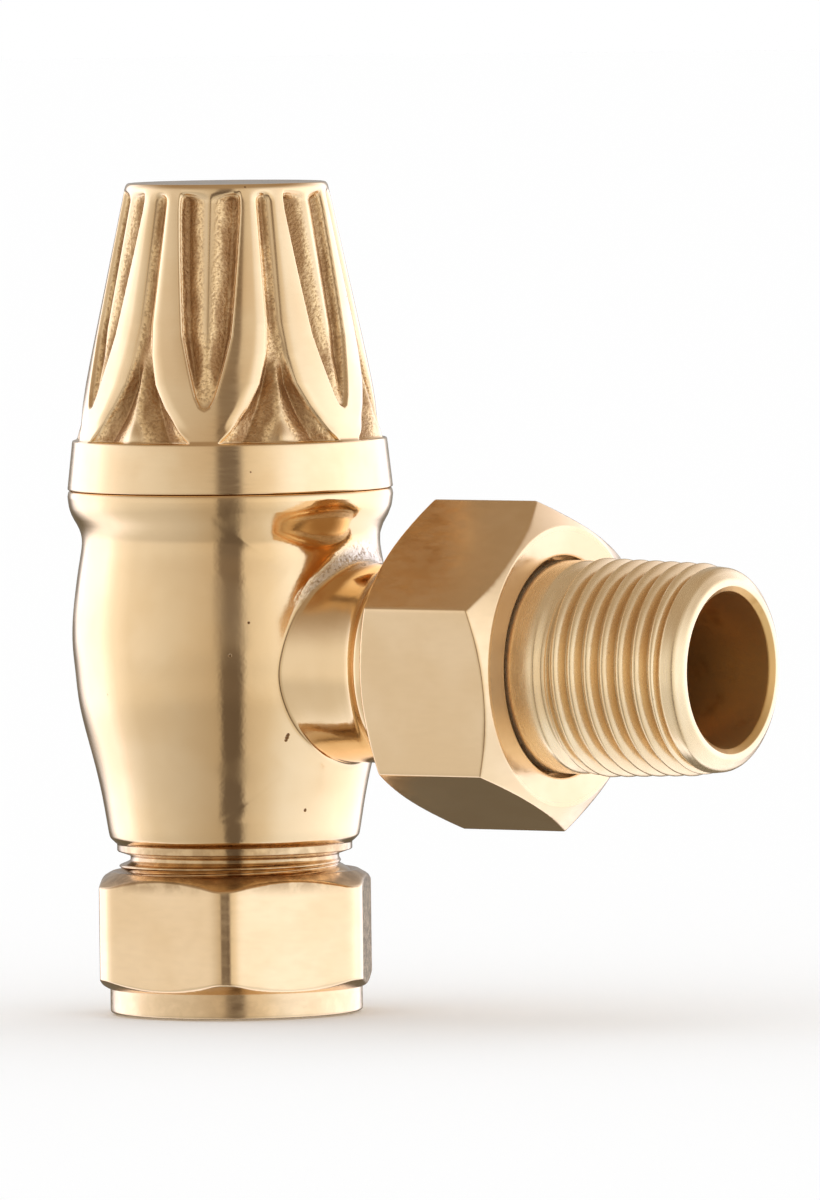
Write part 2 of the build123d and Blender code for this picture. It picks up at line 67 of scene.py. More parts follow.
# Pipe threads. A core is the radius at the thread's root, and a datum is where the ridge crosses angle 0.
# A nut shares the datum, and has the ridge as a groove in its bore.
PIPE_PITCH, PIPE_DEPTH = 1.814, 1.16
TAPER = 1 / 32
INLET_DATUM, INLET_CORE = -26.6, 10.29
OUTLET_DATUM, OUTLET_CORE = 25.0 + PIPE_PITCH / 4, 12.06

# How noise is squeezed to look like tool marks round an axis.
ROUND_Z, ROUND_X = (1, 1, 9), (9, 1, 1)


# ------------------------------------------------------------------ outlines and surfaces
ARC_POINTS, STEP = 5, 0.6


def outline(corners):
    """Points round a closed outline, with ARC_POINTS on each rounded corner.

    A corner is (radius, distance along the axis, rounding), and may add the step between the points
    that follow it.
    """
    places = [np.array(corner[:2], float) for corner in corners]
    starts, ends = [], []
    for index, corner in enumerate(corners):
        here = places[index]
        before = places[index - 1] - here
        after = places[(index + 1) % len(corners)] - here
        room = min(np.linalg.norm(before), np.linalg.norm(after))
        cut = min(corner[2], 0.45 * room)
        starts.append(here + before / np.linalg.norm(before) * cut)
        ends.append(here + after / np.linalg.norm(after) * cut)
    points = []
    for index, corner in enumerate(corners):
        for t in np.linspace(0, 1, ARC_POINTS):
            curve = (1 - t) ** 2 * starts[index] + 2 * t * (1 - t) * places[index] + t * t * ends[index]
            points.append(curve)
        here, there = ends[index], starts[(index + 1) % len(corners)]
        spacing = corner[3] if len(corner) > 3 else STEP
        count = max(1, math.ceil(np.linalg.norm(there - here) / spacing))
        for t in np.linspace(0, 1, count + 1)[1:-1]:
            points.append(here + t * (there - here))
    return np.array(points)


def natural_spline(points, count):
    """A smooth curve through (radius, distance) points, with continuous curvature."""
    points = np.array(points, float)
    knots = np.concatenate([[0], np.cumsum(np.linalg.norm(np.diff(points, axis=0), axis=1))])
    gaps = np.diff(knots)
    size = len(points)
    system = np.eye(size)
    right = np.zeros((size, 2))
    for i in range(1, size - 1):
        system[i, i - 1 : i + 2] = gaps[i - 1], 2 * (gaps[i - 1] + gaps[i]), gaps[i]
        right[i] = 6 * ((points[i + 1] - points[i]) / gaps[i] - (points[i] - points[i - 1]) / gaps[i - 1])
    bend = np.linalg.solve(system, right)
    curve = []
    for place in np.linspace(0, knots[-1], count):
        i = min(np.searchsorted(knots, place, side="right") - 1, size - 2)
        a, b, gap = knots[i + 1] - place, place - knots[i], gaps[i]
        curve.append(
            (bend[i] * a**3 + bend[i + 1] * b**3) / (6 * gap)
            + (points[i] / gap - bend[i] * gap / 6) * a
            + (points[i + 1] / gap - bend[i + 1] * gap / 6) * b
        )
    return np.array(curve)


def smoothstep(low, high, value):
    t = np.clip((value - low) / (high - low), 0, 1)
    return t * t * (3 - 2 * t)


def soft_min(a, b, width):
    """The smaller of two radii, rounded where they cross."""
    blend = np.clip(0.5 + 0.5 * (b - a) / width, 0, 1)
    return b * (1 - blend) + a * blend - width * blend * (1 - blend)


def hexagon_radius(angle, flats, vertex, sharpness=220):
    """Distance from the axis to a hexagon with rounded corners. vertex is one corner's direction."""
    total = 0
    for side in range(6):
        normal = vertex + math.radians(30 + 60 * side)
        total = total + np.maximum(np.cos(angle - normal), 0) ** sharpness
    return flats / 2 / total ** (1 / sharpness)


def thread_height(angle, place, datum, low, high):
    """Height of a right-hand pipe thread over its core, between two places. It fades out at both ends."""
    phase = (place - datum) / PIPE_PITCH - angle / TURN
    flank = np.abs((phase + 0.5) % 1 - 0.5) * 2
    wave = 1 - np.clip((flank - 0.06) / 0.88, 0, 1)
    wave = 0.35 * wave + 0.65 * np.sin(wave * math.pi / 2)
    run_in = smoothstep(low, low + 0.35 * PIPE_PITCH, place)
    run_out = 1 - smoothstep(high - 0.4 * PIPE_PITCH, high, place)
    return PIPE_DEPTH * wave * run_in * run_out


def swept(points, angles, axis, shape):
    """Grid of places for an outline swept round an axis.

    shape(radius, place, angle) gives the radius with its flats, threads and relief.
    """
    radius, angle = np.meshgrid(points[:, 0], angles, indexing="ij")
    place = np.repeat(points[:, 1:2], len(angles), axis=1)
    radius = shape(radius, place, angle)
    across, up = radius * np.cos(angle), radius * np.sin(angle)
    if axis == "Z":
        return np.stack([across, up, place], axis=-1)
    return np.stack([place, across, up], axis=-1)


def grid_faces(rows, columns):
    """Faces of a grid that closes on itself along both its rows and its columns."""
    faces = []
    for row in range(rows):
        here, there = row * columns, (row + 1) % rows * columns
        for column in range(columns):
            beside = (column + 1) % columns
            faces.append((here + column, here + beside, there + beside, there + column))
    return faces


def piece(name, places, faces, body, node, slot, marks=None):
    """Make a mesh from places in millimetres, with its normals facing out, hang it on its body and hide the
    CAD node it stands for.

    marks holds one number for each place by name, which the piece's material reads.
    """
    mesh = bpy.data.meshes.new(name)
    mesh.from_pydata((places.reshape(-1, 3) * MM).tolist(), [], faces)
    points = places.reshape(-1, 3)
    first, second, third = (points[[face[k] for face in faces]] for k in range(3))
    if np.einsum("ij,ij->i", first, np.cross(second, third)).sum() < 0:
        mesh.flip_normals()
    for mark, values in (marks or {}).items():
        attribute = mesh.attributes.new(mark, "FLOAT", "POINT")
        attribute.data.foreach_set("value", values.reshape(-1).astype(np.float32))
    mesh.shade_smooth()
    mesh.materials.append(MATERIALS[slot])
    thing = bpy.data.objects.new(name, mesh)
    bpy.context.scene.collection.objects.link(thing)
    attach(thing, body)
    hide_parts(node)


def even_angles(count):
    return np.arange(count) * TURN / count


# Directions beside a hexagon's corner in degrees, closer together where the corner is rounded.
BESIDE_CORNER = [0.35, 0.7, 1.1, 1.6, 2.3, 3.0, 3.7, 4.4, 5.2, 6.2, 7.5, 9.2, 12.0, 16.0, 20.0, 25.0]


def hexagon_angles(vertex):
    """Directions round a hexagon with a corner at vertex."""
    round_corner = [-offset for offset in reversed(BESIDE_CORNER)] + [0] + BESIDE_CORNER + [30.0]
    degrees = [60 * corner + offset for corner in range(6) for offset in round_corner]
    return vertex + np.radians(degrees)


# ------------------------------------------------------------------ materials
class Nodes:
    """The nodes of a material or a world. Its methods add nodes and return their outputs."""

    def __init__(self, tree):
        self.tree = tree

    def feed(self, socket, value):
        """Set an input to a plain value, or link another node's output to it."""
        if isinstance(value, bpy.types.NodeSocket):
            self.tree.links.new(value, socket)
        else:
            socket.default_value = value

    def node(self, kind, inputs, output=0, **settings):
        """Add a node, feed its inputs and return one of its outputs."""
        added = self.tree.nodes.new(kind)
        for setting, value in settings.items():
            setattr(added, setting, value)
        for key, value in inputs.items():
            self.feed(added.inputs[key], value)
        return added.outputs[output]

    def math(self, operation, a, b=0.0):
        return self.node("ShaderNodeMath", {0: a, 1: b}, operation=operation)

    def span(self, value, low, high, to_low=0.0, to_high=1.0):
        """Map a range of values to another, easing in and out."""
        inputs = {"Value": value, "From Min": low, "From Max": high, "To Min": to_low, "To Max": to_high}
        return self.node("ShaderNodeMapRange", inputs, interpolation_type="SMOOTHSTEP")

    def mix(self, factor, a, b):
        """Blend two colours."""
        return self.node("ShaderNodeMix", {0: factor, 6: a, 7: b}, 2, data_type="RGBA")

    def lerp(self, factor, a, b):
        """Blend two numbers."""
        return self.node("ShaderNodeMix", {0: factor, 2: a, 3: b}, 0)


class Paint(Nodes):
    """A procedural material: a Principled shader and the nodes that drive it, measured in millimetres."""

    def __init__(self, name):
        self.material = bpy.data.materials.new(name)
        self.material.use_nodes = True
        super().__init__(self.material.node_tree)
        self.shader = self.tree.nodes["Principled BSDF"]
        here = self.node("ShaderNodeTexCoord", {}, "Object")
        self.place = self.node("ShaderNodeVectorMath", {0: here, "Scale": 1 / MM}, operation="SCALE")

    def noise(self, scale, detail=3.0, squeeze=(1, 1, 1)):
        """Noise with this many lumps to the millimetre, and more along an axis where squeeze is over 1."""
        place = self.node("ShaderNodeVectorMath", {0: self.place, 1: squeeze}, operation="MULTIPLY")
        return self.node("ShaderNodeTexNoise", {"Vector": place, "Scale": scale, "Detail": detail})

    def mark(self, name):
        """A number stored on the mesh, or 0 where the mesh has none of that name."""
        return self.node("ShaderNodeAttribute", {}, "Fac", attribute_name=name)

    def bump(self, height, depth, below=None):
        """Raise the surface by up to depth millimetres, on top of an earlier bump."""
        inputs = {"Height": height, "Distance": depth * MM, "Strength": 1.0}
        if below is not None:
            inputs["Normal"] = below
        return self.node("ShaderNodeBump", inputs)

    def grimed_and_shaded(self, colour):
        """Darken a colour in patches where the mesh is marked: some grime, and painted shade where parts
        meet or overhang.
        """
        patches = self.span(self.noise(0.8, 4), 0.35, 0.6, 0.5, 1.0)
        grime_and_shade = self.math("MULTIPLY", self.mark("grime_and_shade"), patches)
        return self.mix(grime_and_shade, colour, GRIME_AND_SHADE)

    def pits(self, spacing, radius, share):
        """1 inside a few small round pits, one to a cell at most, and 0 elsewhere."""
        inputs = {"Vector": self.place, "Scale": 1 / spacing}
        colour = self.node("ShaderNodeTexVoronoi", inputs, "Color")
        away = colour.node.outputs["Distance"]
        chosen = self.math("LESS_THAN", self.node("ShaderNodeSeparateColor", {0: colour}), share)
        inside = self.span(away, radius / spacing, 0.45 * radius / spacing)
        return self.math("MULTIPLY", chosen, inside)

    def nick(self, place, radius):
        """1 inside one nick at a given place, and 0 beyond it."""
        away = self.node("ShaderNodeVectorMath", {0: self.place, 1: place}, 1, operation="DISTANCE")
        return self.span(away, radius, 0.5 * radius)

    def finish(self, **inputs):
        """Feed the shader, with underscores standing for the spaces in its inputs' names."""
        for key, value in inputs.items():
            self.feed(self.shader.inputs[key.replace("_", " ")], value)
        return self.material


def tone(red, green, blue):
    return (red, green, blue, 1.0)


BRIGHT = tone(0.905, 0.650, 0.365)
DEEP = tone(0.870, 0.605, 0.320)
SATIN = tone(0.910, 0.665, 0.385)
SATIN_DEEP = tone(0.870, 0.610, 0.335)
CREVICE = tone(0.230, 0.115, 0.045)
# Grime, and painted shade, where parts meet or overhang.
GRIME_AND_SHADE = tone(0.40, 0.25, 0.12)

# The body's larger nicks: direction about the riser in degrees, height and radius.
BODY_NICKS = [
    (-34.9, -6.75, 0.22), (-35.2, -7.0, 0.24), (-35.5, -7.25, 0.19),
    (-23.7, -14.3, 0.20), (-57.2, 1.2, 0.17), (-50.4, 4.4, 0.15),
]


def body_brass():
    """Buffed casting: a cloudy mirror with a fine ripple, pits and nicks, and raw skin above the stub."""
    paint = Paint("body_brass")
    cloud = paint.span(paint.noise(0.11), 0.35, 0.65)
    raw = paint.mark("raw")
    grain = paint.noise(2.4, 6)
    pit = paint.math("MAXIMUM", paint.pits(7.0, 0.20, 0.12), paint.pits(2.6, 0.09, 0.12))
    for direction, height, radius in BODY_NICKS:
        reach, turn = float(belly_radius(height)), math.radians(direction)
        place = (reach * math.cos(turn), reach * math.sin(turn), height)
        pit = paint.math("MAXIMUM", pit, paint.nick(place, radius))
    colour = paint.mix(cloud, DEEP, BRIGHT)
    skin_tone = paint.mix(paint.span(grain, 0.32, 0.52), tone(0.45, 0.32, 0.20), tone(0.90, 0.77, 0.61))
    colour = paint.grimed_and_shaded(paint.mix(raw, colour, skin_tone))
    colour = paint.mix(pit, colour, CREVICE)
    fine = paint.span(paint.noise(0.6, 5, (1, 1, 0.25)), 0.3, 0.7, 0.07, 0.12)
    worn = paint.span(paint.noise(0.09, 2, (1, 1, 1.6)), 0.45, 0.62, 0.0, 0.09)
    fine = paint.math("ADD", fine, worn)
    roughness = paint.lerp(paint.math("MAXIMUM", raw, pit), fine, 0.4)
    ripple = paint.bump(paint.noise(0.8, 2), 0.006)
    ripple = paint.bump(paint.noise(3.2, 2), 0.0022, ripple)
    skin = paint.bump(paint.math("MULTIPLY", raw, grain), 0.16, ripple)
    normal = paint.bump(paint.math("MULTIPLY", pit, -1.0), 0.1, skin)
    return paint.finish(Base_Color=colour, Metallic=1.0, Roughness=roughness, Normal=normal)


def cap_brass():
    """Polished leaves on a grainy cast ground. The top is faced off and the band is turned."""
    paint = Paint("cap_brass")
    hollow = paint.mark("hollow")
    cloud = paint.span(paint.noise(0.16), 0.35, 0.65)
    grain = paint.noise(3.3, 4)
    mottle = paint.noise(0.55, 4, (1, 1, 0.4))
    skin = paint.span(hollow, 0.32, 0.58)
    colour = paint.mix(cloud, SATIN_DEEP, SATIN)
    patches = paint.span(mottle, 0.35, 0.75, -0.35, 0.55)
    deep = paint.math("ADD", paint.span(hollow, 0.45, 1.0), patches)
    ground = paint.mix(paint.span(deep, 0.0, 1.0), tone(1.0, 0.70, 0.36), tone(0.44, 0.245, 0.10))
    ground = paint.mix(paint.span(grain, 0.54, 0.36, 0.0, 0.6), ground, tone(0.36, 0.19, 0.08))
    colour = paint.mix(skin, colour, ground)
    colour = paint.mix(paint.pits(1.7, 0.12, 0.12), colour, CREVICE)
    lines = paint.noise(0.5, 4, ROUND_Z)
    polish = paint.span(lines, 0.3, 0.7, 0.10, 0.17)
    roughness = paint.lerp(paint.span(hollow, 0.0, 0.35), polish, 0.28)
    brushed = paint.bump(lines, 0.0018)
    normal = paint.bump(paint.math("MULTIPLY", skin, grain), 0.12, brushed)
    metal = paint.lerp(skin, 1.0, 0.75)
    return paint.finish(Base_Color=colour, Metallic=metal, Roughness=roughness, Normal=normal)


def machined_brass(name, colour, worn, roughness, lines, depth=0.003, dents=0.1, metal=1.0):
    """Turned or milled brass: browner in its bore, darker in its thread's roots with painted shade and some
    grime, and matt where it is faced.

    lines squeezes the tool marks, depth is their height, and dents is the share of places with a pit.
    """
    paint = Paint(name)
    cloud = paint.span(paint.noise(0.13), 0.35, 0.65)
    marks = paint.noise(0.6, 4, lines)
    patina = paint.span(paint.noise(0.35, 5), 0.5, 0.8)
    shade = paint.mix(paint.math("MULTIPLY", cloud, 0.6), colour, worn)
    shade = paint.mix(paint.math("MULTIPLY", patina, 0.35), shade, worn)
    pit = paint.pits(2.3, 0.11, dents)
    shade = paint.mix(pit, shade, CREVICE)
    # Painted shade and some grime where the mesh is marked.
    shade = paint.grimed_and_shaded(shade)
    bore = paint.mark("bore")
    bore_tone = paint.mix(patina, tone(0.70, 0.42, 0.15), tone(0.50, 0.27, 0.08))
    shade = paint.mix(bore, shade, bore_tone)
    # The thread's roots are darkened: painted shade, with some grime.
    shade = paint.mix(paint.math("MULTIPLY", paint.mark("root_grime_and_shade"), 0.55), shade, tone(0.62, 0.38, 0.15))
    outside = paint.span(marks, 0.3, 0.7, roughness - 0.05, roughness + 0.06)
    rough = paint.lerp(bore, outside, 0.36)
    cut = paint.bump(marks, depth)
    normal = paint.bump(paint.math("MULTIPLY", pit, -1.0), 0.06, cut)
    metallic = paint.lerp(paint.mark("faced"), metal, 0.72)
    return paint.finish(Base_Color=shade, Metallic=metallic, Roughness=rough, Normal=normal)


def spring_steel():
    paint = Paint("spring_steel")
    marks = paint.noise(0.8, 4, (1, 1, 10))
    colour = paint.mix(paint.span(marks, 0.3, 0.7), tone(0.42, 0.42, 0.44), tone(0.60, 0.60, 0.61))
    return paint.finish(Base_Color=colour, Metallic=1.0, Roughness=0.3, Normal=paint.bump(marks, 0.004))


def black_rubber():
    paint = Paint("black_rubber")
    bloom = paint.span(paint.noise(0.5, 5), 0.35, 0.75)
    colour = paint.mix(bloom, tone(0.012, 0.012, 0.013), tone(0.035, 0.035, 0.036))
    roughness = paint.span(bloom, 0, 1, 0.38, 0.6)
    return paint.finish(Base_Color=colour, Roughness=roughness, Normal=paint.bump(paint.noise(4, 3), 0.02))


def fibre_washer():
    paint = Paint("fibre_washer")
    fibres = paint.noise(1.2, 6, (1, 1, 5))
    colour = paint.mix(paint.span(fibres, 0.35, 0.65), tone(0.20, 0.035, 0.02), tone(0.42, 0.09, 0.05))
    return paint.finish(Base_Color=colour, Roughness=0.72, Normal=paint.bump(fibres, 0.05))


def white_packing():
    paint = Paint("white_packing")
    wraps = paint.noise(0.7, 3, (1, 1, 7))
    colour = paint.mix(paint.span(wraps, 0.3, 0.7), tone(0.72, 0.71, 0.68), tone(0.88, 0.88, 0.86))
    glow = {"Subsurface_Weight": 0.15, "Subsurface_Scale": 0.6 * MM}
    return paint.finish(Base_Color=colour, Roughness=0.45, Normal=paint.bump(wraps, 0.03), **glow)


# ------------------------------------------------------------------ cap
CAP_FOOT, CAP_TOP = 16.95, 47.1
# The underside of the cap's top, and the pinhole that keeps its faces from meeting at the axis.
CROWN, AXIS_HOLE = 44.6, 0.02
BAND_TOP = 21.75
CONE_FOOT, CONE_FOOT_RADIUS = 22.0, 15.27
CONE_TOP, CONE_TOP_RADIUS = 46.75, 10.0
LEAF_ANGLE = -6.0
# The bore of the skirt, and the groove in it for the snap ring.
SKIRT_RADIUS = 13.15
GROOVE_RADIUS, GROOVE_LOW, GROOVE_HIGH = 14.86, 18.95, 21.05
# Half the width of the hollow in a leaf, and of the gap between leaves, in degrees by height.
LEAF_HALF = [(25.0, 0), (25.4, 2.4), (26.4, 4.3), (27.6, 5.8), (32.3, 11.2), (44.6, 17.6), (46.7, 17.8)]
GAP_HALF = [(21.9, 24.8), (22.9, 20.9), (25.3, 13.6), (27.6, 8.2), (30.5, 4.8), (33.5, 3.2), (46.7, 3.4)]
# How far the hollow in a leaf, the arrow in a gap and the groove above it go below the cone at most.
LEAF_DEPTH, ARROW_DEPTH, GAP_DEPTH = 1.25, 1.5, 0.5


def flutes(across, valley, ridge, lip):
    """Share of the depth across half a hollow, where across runs from 0 at its middle to 1 at its edge.

    It goes down a flat flank from the central ridge to the valley, and up a wall to the lip.
    """
    flank = ridge + (1 - ridge) * (np.hypot(across, 0.08) - 0.05) / valley
    wall = 1 - (1 - lip) * (across - valley) / (1 - valley)
    return np.clip(soft_min(flank, wall, 0.12), 0, 1)


def edge_roll(outside, width):
    """Share of the roll on a strip at a distance from the edge it rolls down to, and 0 beyond the width."""
    return np.clip(1 - outside / width, 0, 1) ** 2


def cone_radius(place):
    return np.interp(place, [CONE_FOOT, CONE_TOP], [CONE_FOOT_RADIUS, CONE_TOP_RADIUS])


def leaf_depth(angle, place, radius):
    """Depth of the leaf pattern below the cone."""
    from_leaf = (np.degrees(angle) - LEAF_ANGLE + 30) % 60 - 30
    per_degree = radius * math.radians(1)
    leaf_side = np.abs(from_leaf) * per_degree
    gap_side = (30 - np.abs(from_leaf)) * per_degree
    heights, widths = zip(*LEAF_HALF)
    leaf_half = np.interp(place, heights, widths) * per_degree + 1e-6
    heights, widths = zip(*GAP_HALF)
    gap_half = np.interp(place, heights, widths) * per_degree
    top_end = 1 - smoothstep(45.3, 46.5, place)
    # Two flutes beside a ridge in each leaf. The ridge sinks away towards the point.
    ridge = np.interp(place, [25.5, 28.0, 33.0, 46.0], [0.95, 0.55, 0.2, 0.12])
    in_leaf = np.minimum(LEAF_DEPTH, 0.6 * leaf_half) * flutes(leaf_side / leaf_half, 0.76, ridge, 0.42)
    in_leaf = in_leaf * (1 - smoothstep(-0.34, 0.0, leaf_side - leaf_half))
    # The gap is a groove above, and opens into an arrow with a prow up its middle.
    arrow = 1 - smoothstep(27.5, 32.0, place)
    prow = np.interp(place, [22.0, 25.0, 28.5, 30.5], [0.0, 0.03, 0.25, 0.75])
    in_arrow = np.minimum(ARROW_DEPTH, 0.75 * gap_half) * flutes(gap_side / gap_half, 0.6, prow, 0.2)
    in_arrow = in_arrow * (1 - smoothstep(-0.3, 0.0, gap_side - gap_half))
    in_groove = GAP_DEPTH * np.clip(1 - (gap_side / gap_half / 1.2) ** 2, 0, 1) ** 2
    in_gap = arrow * in_arrow + (1 - arrow) * in_groove
    # The leaf's strips are crowned: they roll down to the hollow on one side and the gap on the other.
    width = np.interp(place, [24, 30, 46], [1.3, 1.4, 0.8])
    roll = 0.06 * edge_roll(leaf_side - leaf_half, width) * smoothstep(26.5, 31.0, place)
    roll = roll + 0.30 * edge_roll(gap_side - gap_half, width) * smoothstep(22.4, 24.5, place)
    return top_end * (np.minimum(roll, 0.34) + np.where(leaf_side < leaf_half, in_leaf, in_gap))


def cap():
    corners = [
        (AXIS_HOLE, CAP_TOP, 0, 1.2),
        (9.78, CAP_TOP, 0.25, 0.15),
        (CONE_TOP_RADIUS, CONE_TOP, 0.15, 0.14),
        (CONE_FOOT_RADIUS, CONE_FOOT, 0.15, 0.1),
        (15.52, BAND_TOP, 0.22, 0.4),
        (16.05, CAP_FOOT, 0.18, 0.5),
        (SKIRT_RADIUS, CAP_FOOT, 0.15, 0.5),
        (SKIRT_RADIUS, GROOVE_LOW, 0.05, 0.5),
        (GROOVE_RADIUS, GROOVE_LOW, 0.05, 0.5),
        (GROOVE_RADIUS, GROOVE_HIGH, 0.05, 0.5),
        (SKIRT_RADIUS, GROOVE_HIGH, 0.05, 0.5),
        (SKIRT_RADIUS, 23.2, 0.2, 1.0),
        (12.0, 24.4, 0.5, 1.0),
        (10.9, 30.0, 0.5, 1.0),
        (8.6, 36.0, 0.5, 1.0),
        (7.0, 44.0, 0.5, 1.0),
        (6.2, CROWN, 0.3, 1.0),
        (AXIS_HOLE, CROWN, 0, 1.0),
    ]
    points = outline(corners)

    def relief(radius, place, angle):
        on_cone = (place > CONE_FOOT - 0.15) & (place < CAP_TOP - 0.05)
        on_cone = on_cone & (radius > cone_radius(place) - 0.3)
        return np.where(on_cone, radius - leaf_depth(angle, place, radius), radius)

    angles = even_angles(720)
    places = swept(points, angles, "Z", relief)
    place, radius = places[..., 2], np.hypot(places[..., 0], places[..., 1])
    outside = (np.arange(len(points)) < np.argmax(points[:, 1] < CAP_FOOT + 0.01))[:, None]
    on_cone = outside & (place > CONE_FOOT) & (place < CAP_TOP - 0.3)
    marks = {"hollow": np.where(on_cone, cone_radius(place) - radius, 0)}
    faces = grid_faces(len(points), len(angles))
    piece("cap_shell", places, faces, "cap_group", "lockshield_cap", "cap_brass", marks)


# ------------------------------------------------------------------ body
# The buffed outline as (radius, height).
BELLY = [
    (16.05, 16.3), (15.72, 14.6), (14.98, 13.2), (14.70, 12.2), (14.78, 10.9), (15.05, 9.3), (15.4, 6.9),
    (15.7, 4.0), (15.72, 1.5), (15.5, -0.9), (15.2, -3.7), (14.55, -6.8), (13.8, -9.7), (13.1, -12.8),
    (12.45, -16.6),
]
BODY_TOP, BODY_FOOT = BELLY[0][1], BELLY[-1][1]
# The stub, and the ring on the belly round it where the outlet's own grid becomes round.
STUB_RADIUS, STUB_RING = 9.8, 12.7
CHAMBER_RADIUS, WATERWAY_RADIUS = 8.4, 6.5
CHAMBER_FOOT, CHAMBER_TOP = -7.0, 8.6
INLET_END = -27.5
# Along the outlet: where its waterway meets the chamber's wall, where the stub widens, and the end.
TUBE_FOOT, STUB_END, OUTLET_END = 8.0, 18.0, 32.0
# The outlet joins the riser at two windows in the riser's grid, one outside and one in the chamber.
# WINDOW_ANGLE is how far they reach round the riser each way, and COLUMN is the grid's step, in degrees.
WINDOW_ANGLE, COLUMN = 63.0, 1.5
WINDOW_FOOT, WINDOW_TOP, WINDOW_ROWS = -15.2, 15.0, 64
FILLET_RINGS = 9

BELLY_CURVE = natural_spline(BELLY, 400)[::-1]


def belly_radius(place):
    return np.interp(place, BELLY_CURVE[:, 1], BELLY_CURVE[:, 0])


def resample(points, low, high, count):
    """Points at even distances between two places along the axis, on a curve of (radius, place) points."""
    order = np.argsort(points[:, 1])
    place = np.linspace(high, low, count)
    return np.stack([np.interp(place, points[order, 1], points[order, 0]), place], axis=1)


def window_loop(row_from, row_to, column_from, column_to):
    """Grid vertices round a window, as (row, column) pairs in order."""
    step = 1 if row_to > row_from else -1
    loop = [(row_from, column) for column in range(column_from, column_to)]
    loop += [(row, column_to) for row in range(row_from, row_to, step)]
    loop += [(row_to, column) for column in range(column_to, column_from, -1)]
    loop += [(row, column_from) for row in range(row_to, row_from, -step)]
    return loop


def on_wall(radius_at, y, z):
    """The place on a wall turned about the riser that lies straight along X from (0, y, z)."""
    x = np.sqrt(np.maximum(radius_at(z) ** 2 - y**2, 0))
    return np.stack([x, y + 0 * x, z + 0 * x], axis=-1)


def ring_x(x, radius, angle):
    """A ring of places round the outlet's axis."""
    return np.stack([x + 0 * angle, radius * np.cos(angle), radius * np.sin(angle)], axis=-1)


def stub_root(angle, reach):
    """Rings from the belly to the end of the stub, with a fillet of the given reach at each angle.

    The fillet is a parabola that leaves the wall and meets the stub at a tangent.
    """
    def wall(radius):
        return on_wall(belly_radius, radius * np.cos(angle), radius * np.sin(angle))[..., 0]

    leave = STUB_RADIUS + reach
    radii = np.linspace(STUB_RING + 0 * angle, leave, FILLET_RINGS)
    rings = [ring_x(wall(radius), radius, angle) for radius in radii]
    leave_x = wall(leave)
    slope = (wall(leave + 0.02) - wall(leave - 0.02)) / 0.04
    corner_x = leave_x - slope * reach
    meet_x = corner_x + 0.9 * np.hypot(reach, corner_x - leave_x)
    for t in np.linspace(0, 1, FILLET_RINGS)[1:]:
        x = (1 - t) ** 2 * leave_x + 2 * t * (1 - t) * corner_x + t * t * meet_x
        rings.append(ring_x(x, (1 - t) ** 2 * leave + (1 - (1 - t) ** 2) * STUB_RADIUS, angle))
    for t in np.linspace(0, 1, 6)[1:]:
        rings.append(ring_x(meet_x + t * (STUB_END - meet_x), STUB_RADIUS, angle))
    return rings


def riser_outline():
    """The riser's closed outline, and the rows where the windows' outer and inner grids begin in it."""
    top = outline(
        [
            (9.2, 22.5, 0.15), (13.0, 22.5, 0.5), (13.0, 16.9, 0.1), (15.95, 16.9, 0.3), (*BELLY[0], 0),
            (9.2, BODY_TOP, 0),
        ]
    )
    top = top[: np.argmax((top[:, 0] >= BELLY[0][0] - 0.01) & (top[:, 1] <= BODY_TOP + 0.001))]
    belly = natural_spline(BELLY, 300)
    above = resample(belly, WINDOW_TOP, BODY_TOP, 8)[:-1]
    window = resample(belly, WINDOW_FOOT, WINDOW_TOP, WINDOW_ROWS + 1)
    below = resample(belly, BODY_FOOT, WINDOW_FOOT, 5)[1:]
    spigot = outline(
        [
            (*BELLY[-1], 0), (12.3, -17.35, 0.2, 0.2), (11.85, -17.8, 0.15, 0.2), (11.6, -18.0, 0.08, 0.2),
            (11.6, -18.7, 0.12, 0.2), (INLET_CORE, -19.15, 0.1, 0.12), (INLET_CORE, INLET_END, 0.2, 0.3),
            (9.0, INLET_END, 0.1, 0.3), (7.65, -26.15, 0.1, 1.0), (7.65, -14.0, 0.1, 0.5),
            (5.5, -12.8, 0.1, 0.8), (5.5, -6.0, 0.15, 0.3), (6.4, -6.0, 0.2, 0.3), (6.7, -6.3, 0.1, 0.3),
            (6.7, CHAMBER_FOOT, 0.05, 0.5), (CHAMBER_RADIUS, CHAMBER_FOOT, 0.05, 0.5),
            (CHAMBER_RADIUS, CHAMBER_FOOT + 0.05, 0), (0.0, 0.0, 0),
        ]
    )
    in_chamber = (spigot[:, 0] > CHAMBER_RADIUS - 0.001) & (spigot[:, 1] > CHAMBER_FOOT + 0.049)
    spigot = spigot[ARC_POINTS : np.argmax(in_chamber)]
    heights = np.linspace(CHAMBER_FOOT + 0.1, CHAMBER_TOP, WINDOW_ROWS + 1)
    chamber = np.stack([np.full(WINDOW_ROWS + 1, CHAMBER_RADIUS), heights], axis=1)
    bonnet_bore = np.array(
        [(8.4, 9.6), (8.4, 10.0), (9.1, 10.3), (9.1, 13.0), (9.1, 17.0), (9.1, 21.0), (9.12, 22.2)]
    )
    outer_first = len(top) + len(above)
    inner_first = outer_first + len(window) + len(below) + len(spigot)
    rows = np.concatenate([top, above, window, below, spigot, chamber, bonnet_bore])
    return rows, outer_first, inner_first


def inlet_thread(radius, place, angle):
    threaded = (place < -19.0) & (place > INLET_END + 0.05) & (radius > 10.0)
    thread = thread_height(angle, place, INLET_DATUM, INLET_END + 0.1, -19.5)
    return np.where(threaded, radius + thread, radius)


